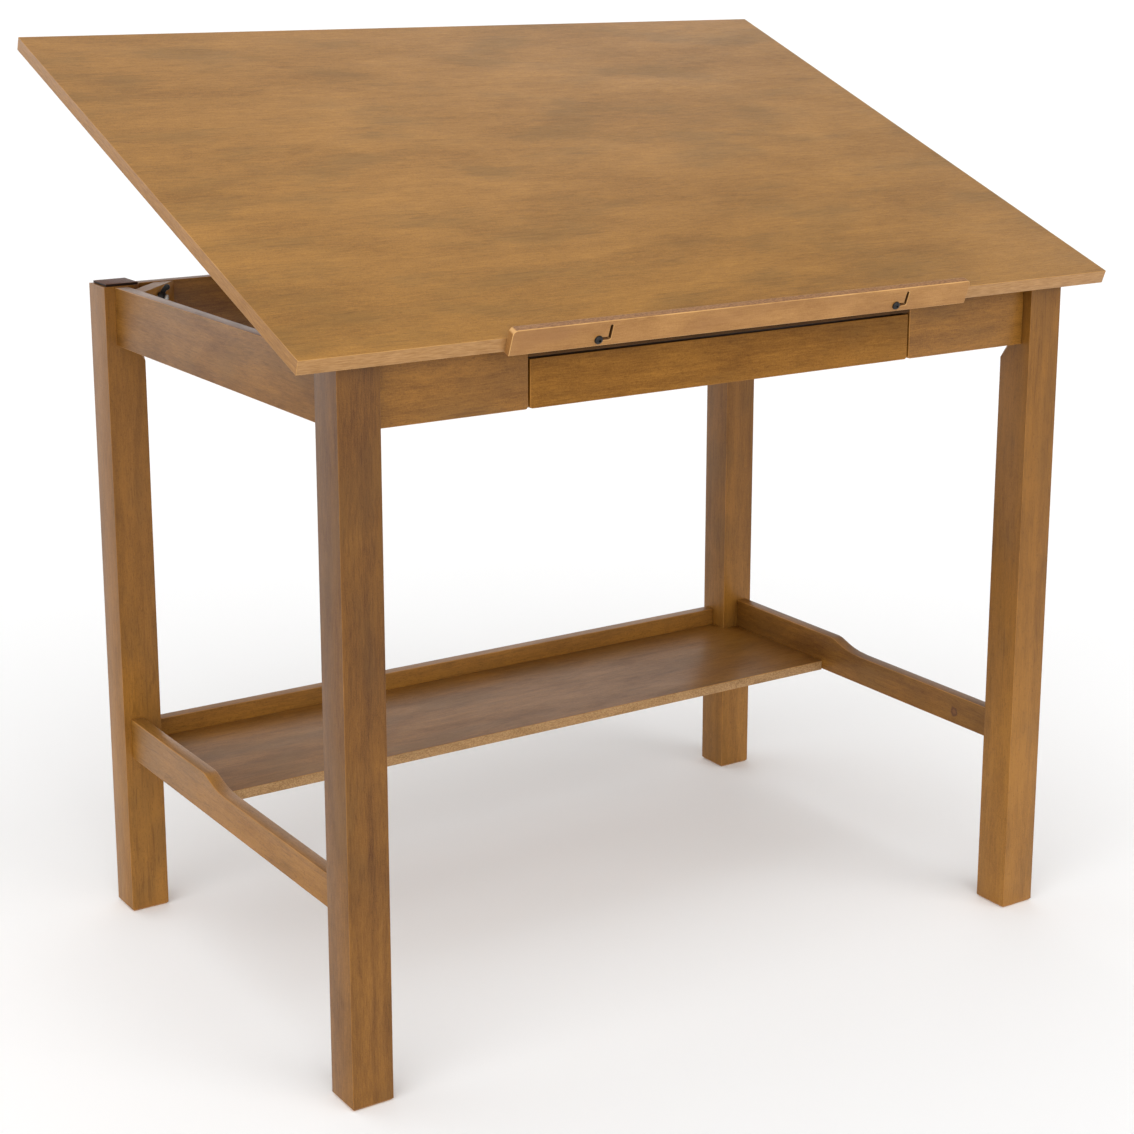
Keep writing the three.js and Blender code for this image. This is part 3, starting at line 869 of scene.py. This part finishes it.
def wing_nut():
    """A cast wing nut on z = 0, threaded along +Z, with its wings in X."""
    profile = [(3.2, 0), (6.1, 0), (NUT_RADIUS, 0.5), (6.3, 2.4)]
    profile += [(5.5, 6.4), (5.0, 7.6), (4.6, 8.0), (3.2, 8.0)]
    wings = []
    for side in (-1, 1):
        lobe = arc((12.4, 10.2), 3.6, -50, 150, steps=12)
        lobe += [(7.8, 9.0), (4.6, 7.2), (3.4, 5.0), (3.6, 1.6), (6.0, 1.4), (9.6, 3.4)]
        if side < 0:
            lobe = [(-x, z) for x, z in reversed(lobe)]
        wings.append(plate("wing", lobe, (), 2.8, 1.0))
    return gathered("wing_nut", turned("hub", profile), *wings)


def threaded_bolt():
    """A bolt along +Z from z = 0, plain and then threaded to its rounded end."""
    r = BOLT_RADIUS
    profile = [(r - 0.8, 0), (r, 0.8), (r, THREAD_FROM)]
    turns = int((BOLT_LENGTH - 1.2 - THREAD_FROM) / THREAD_PITCH)
    for i in range(turns):
        z = THREAD_FROM + i * THREAD_PITCH
        profile += [(r - 0.45, z + 0.4 * THREAD_PITCH), (r, z + 0.9 * THREAD_PITCH)]
    profile += [(r - 0.5, BOLT_LENGTH - 0.5), (r - 1.4, BOLT_LENGTH)]
    return turned("threaded_bolt", profile, sides=24)


def facing_upright(point, direction):
    """A matrix that carries +Z to a level direction, +X upright and the origin to `point`."""
    z = direction.normalized()
    x = Vector((0, 0, 1))
    turn = Matrix((x, z.cross(x), z)).transposed().to_4x4()
    return Matrix.Translation(point) @ turn


def corner_fixings():
    """A hanger bolt along each leg's diagonal, and the wing nut on it."""
    nut, bolt = wing_nut(), threaded_bolt()
    for corner in CORNERS:
        leg_low, leg_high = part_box(f"leg_{corner}")
        leg = (leg_low + leg_high) / 2
        low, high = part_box(f"wing_nut_{corner}")
        middle = (low + high) / 2
        way_x, way_y = math.copysign(1, middle.x - leg.x), math.copysign(1, middle.y - leg.y)
        inward = Vector((way_x, way_y, 0)) / math.sqrt(2)
        near_x, near_y = low.x if way_x > 0 else high.x, low.y if way_y > 0 else high.y
        seat = Vector((near_x, near_y, middle.z)) + inward * NUT_RADIUS * MM
        place = facing_upright(seat, inward)
        name = f"cast_wing_nut_{corner}"
        add_piece(name, nut, place, "frame", "black", BLACK, f"wing_nut_{corner}")

        bolt_low, bolt_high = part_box(f"hanger_bolt_{corner}")
        start = Vector((leg.x, leg.y, (bolt_low.z + bolt_high.z) / 2))
        place = facing_upright(start, inward)
        name = f"threaded_bolt_{corner}"
        add_piece(name, bolt, place, "frame", "steel", STEEL, f"hanger_bolt_{corner}")


KNOB_RADIUS = 12.95
KNOB_LENGTH = 16.0
KNOB_LOBES = 8


def clamp_knob():
    """A lobed knob about +Z, with its boss on z = 0."""
    r, h = KNOB_RADIUS, KNOB_LENGTH

    def lobed(turn, height):
        gripped = 3.5 < height < h - 0.2
        depth = 0.1 if gripped else 0.0
        wave = 0.5 - 0.5 * math.cos(KNOB_LOBES * turn)
        return 1 - depth * wave**2

    profile = [(4.4, 0), (7.4, 0), (8.0, 0.5), (8.0, 3.0), (r - 1.6, 3.6), (r - 0.5, 4.3)]
    profile += [(r, 5.4), (r, h - 3.4), (r - 0.5, h - 1.9), (r - 1.8, h - 0.8)]
    profile += [(r - 3.6, h - 0.3), (5.0, h - 0.1), (4.6, h - 0.6), (0.4, h - 0.6)]
    return turned("clamp_knob", profile, sides=96, reach=lobed)


def clamp_knobs():
    knob = clamp_knob()
    for side, way in (("left", -1), ("right", 1)):
        low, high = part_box(f"clamp_knob_{side}")
        inner = high.x if way < 0 else low.x
        centre = Vector((inner, (low.y + high.y) / 2, (low.z + high.z) / 2))
        place = facing(centre, (way, 0, 0))
        name = f"lobed_knob_{side}"
        add_piece(name, knob, place, "tilt_prop", "knob", PLASTIC, f"clamp_knob_{side}")


CROSS = (3.2, 0.75, 1.6)  # the recess: its length, its width and twice its depth


def bar(*size):
    """A box of three sizes about the origin."""
    shape = Matrix.Diagonal((*size, 1))
    return as_mesh("bar", lambda form: bmesh.ops.create_cube(form, size=1.0, matrix=shape))


def wood_screw():
    """The head of a countersunk cross-head screw, its rim just proud of z = 0."""
    profile = [(1.6, -1.2), (3.0, -0.1), (3.1, 0.06), (2.4, 0.16), (0.8, 0.2)]
    head = turned("wood_screw", profile, sides=32)
    long, wide, deep = CROSS
    for size in ((long, wide, deep), (wide, long, deep)):
        head = carved(head, bar(*size))
    return head


LEAF_THICK = 1.3
LEAF_ABOVE_LEG = 0.3
LEAF_SCREWS = {  # across the leaf, and from the pin; staggered, as the leaves close on each other
    "lower": ((-12.5, 12.0), (12.5, 12.0), (0.0, 27.0)),
    "upper": ((-12.5, 24.0), (12.5, 24.0), (0.0, 11.0)),
}
BRACKET_SHEET = 2.0
BRACKET_SCREWS = [(x, y) for x in (-14.0, 14.0) for y in (-14.0, 14.0)]


def wood_screws():
    screw = wood_screw()
    down = LID_TURN @ Vector((0, 0, -1))
    for side in SIDES:
        low, high = lid_box(f"hinge_leaf_upper_{side}")
        middle = (low.x + high.x) / 2
        for i, (across, reach) in enumerate(LEAF_SCREWS["upper"]):
            seat = on_lid(middle + across * MM, reach * MM, high.z - LEAF_THICK * MM)
            name = f"leaf_screw_upper_{side}_{i}"
            add_piece(name, screw, facing(seat, down), "lid", "steel", STEEL)
        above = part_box(f"leg_front_{side}")[1].z + (LEAF_ABOVE_LEG + LEAF_THICK) * MM
        for i, (across, reach) in enumerate(LEAF_SCREWS["lower"]):
            seat = Vector((middle + across * MM, HINGE.y + reach * MM, above))
            name = f"leaf_screw_lower_{side}_{i}"
            add_piece(name, screw, facing(seat, (0, 0, 1)), "frame", "steel", STEEL)
        low, high = lid_box(f"prop_bracket_{side}")
        centre = (low + high) / 2
        for i, (x, y) in enumerate(BRACKET_SCREWS):
            seat = on_lid(centre.x + x * MM, centre.y + y * MM, high.z - BRACKET_SHEET * MM)
            name = f"bracket_screw_{side}_{i}"
            add_piece(name, screw, facing(seat, down), "lid", "black", BLACK)


finish_legs()
finish_frame()
finish_drawer_front()
finish_inner_boards()
finish_top()
finish_fittings()
pencil_ledge()
ledge_screws()
corner_fixings()
clamp_knobs()
wood_screws()

# ---- studio --------------------------------------------------------------------------


FLOOR_SIZE = 160.0
FLOOR_WHITE = (0.95, 0.95, 0.95, 1)


def floor():
    mesh = bpy.data.meshes.new("floor")
    half = FLOOR_SIZE / 2
    corners = [(-half, -half, 0), (half, -half, 0), (half, half, 0), (-half, half, 0)]
    mesh.from_pydata(corners, [], [(0, 1, 2, 3)])
    plane = bpy.data.objects.new("floor", mesh)
    bpy.context.collection.objects.link(plane)
    matt = Graph("floor").finish(Base_Color=FLOOR_WHITE, Roughness=1.0, Specular_IOR_Level=0.0)
    mesh.materials.append(matt)


def soft_light(name, direction, strength, spread):
    """A broad, distant light that comes from `direction` and spreads over `spread` degrees."""
    data = bpy.data.lights.new(name, "SUN")
    data.energy = strength
    data.angle = math.radians(spread)
    lamp = bpy.data.objects.new(name, data)
    lamp.rotation_euler = Vector(direction).to_track_quat("Z", "Y").to_euler()
    bpy.context.collection.objects.link(lamp)


def white_room():
    """A world that is white round the horizon, as a backdrop is, and dimmer overhead."""
    world = bpy.data.worlds.new("white_room")
    world.use_nodes = True
    tree = world.node_tree
    direction = tree.nodes.new("ShaderNodeTexCoord")
    split = tree.nodes.new("ShaderNodeSeparateXYZ")
    fade = tree.nodes.new("ShaderNodeMapRange")
    fade.interpolation_type = "SMOOTHSTEP"
    rise = {"From Min": 0.18, "From Max": 0.5, "To Min": 1.0, "To Max": 0.38}
    for key, value in rise.items():
        fade.inputs[key].default_value = value
    background = tree.nodes["Background"]
    background.inputs["Color"].default_value = (1, 1, 1, 1)
    tree.links.new(direction.outputs["Generated"], split.inputs[0])
    tree.links.new(split.outputs["Z"], fade.inputs["Value"])
    tree.links.new(fade.outputs["Result"], background.inputs["Strength"])
    return world


def studio():
    bpy.context.scene.world = white_room()
    bpy.context.scene.view_settings.view_transform = "Standard"
    soft_light("key", (-0.45, -1.0, 0.78), strength=2.55, spread=100)
    soft_light("rim", (-0.15, 1.0, 0.9), strength=0.9, spread=90)


floor()
studio()
